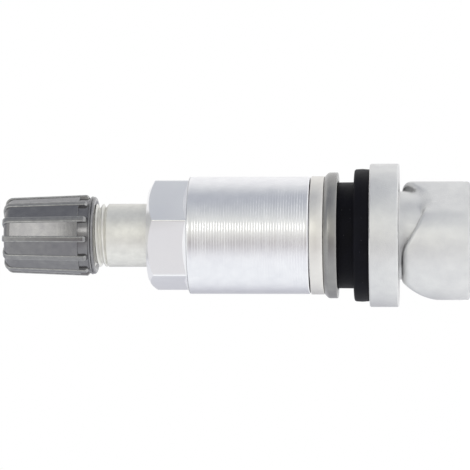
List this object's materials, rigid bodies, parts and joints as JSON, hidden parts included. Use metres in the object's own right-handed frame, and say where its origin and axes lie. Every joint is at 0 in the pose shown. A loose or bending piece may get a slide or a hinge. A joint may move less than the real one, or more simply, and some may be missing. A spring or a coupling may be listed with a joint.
{
  "type": "tyre pressure sensor valve stem",
  "caption": "Clamp-in metal valve stem for a tyre pressure sensor: cast boss and flange, rubber grommet, dished washer, long hexagon nut and ribbed screw cap.",
  "frame": {"origin": "centre of the stem's axis on the flat end face of the cast boss", "axes": "+Z along the stem's axis from the boss to the cap; the boss is offset and more rounded towards -X"},
  "size_m": [0.0174, 0.0174, 0.0565],
  "materials": {
    "cast_aluminium": "bead-blasted casting, satin",
    "turned_aluminium": "bright anodised, fine turned rings",
    "satin_aluminium": "satin turned",
    "washer_steel": "turned, satin",
    "seal_rubber": "matte black rubber",
    "cap_plastic": "glossy dark grey moulding",
    "core_brass": "turned brass",
    "spring_steel": "drawn wire"
  },
  "bodies": {
    "stem": {"valve_stem": "cast_aluminium", "grommet": "seal_rubber", "clamp_washer": "washer_steel", "core_plug": "core_brass", "core_barrel": "core_brass", "core_gasket": "seal_rubber", "core_spring": "spring_steel"},
    "nut_ring": {"slip_ring": "satin_aluminium"},
    "nut": {"clamp_nut": "turned_aluminium"},
    "seal_disc": {"cap_seal": "seal_rubber"},
    "screw_cap": {"cap": "cap_plastic"},
    "valve_pin": {"core_pin": "spring_steel", "core_plunger": "core_brass", "core_plunger_seal": "seal_rubber"}
  },
  "joints": [
    {"name": "nut_rise", "type": "slide", "parent": "stem", "child": "nut_ring", "axis": [0, 0, 1], "range_m": [0, 0.006]},
    {"name": "nut_turn", "type": "hinge", "parent": "nut_ring", "child": "nut", "pos_m": [0, 0, 0.03387], "axis": [0, 0, 1], "range_deg": [0, 2160]},
    {"name": "cap_rise", "type": "slide", "parent": "stem", "child": "seal_disc", "axis": [0, 0, 1], "range_m": [0, 0.00873]},
    {"name": "cap_turn", "type": "hinge", "parent": "seal_disc", "child": "screw_cap", "pos_m": [0, 0, 0.04535], "axis": [0, 0, 1], "range_deg": [0, 3960]},
    {"name": "pin_press", "type": "slide", "parent": "stem", "child": "valve_pin", "axis": [0, 0, 1], "range_m": [-0.0012, 0], "stiffness_N_per_m": 1500, "springref_m": 0.0015, "deforming": ["core_spring"]}
  ],
  "couplings": [
    {"joint": "nut_turn", "follows": "nut_rise", "rad_per_m": 6283.2},
    {"joint": "cap_turn", "follows": "cap_rise", "rad_per_m": 7915.8}
  ]
}
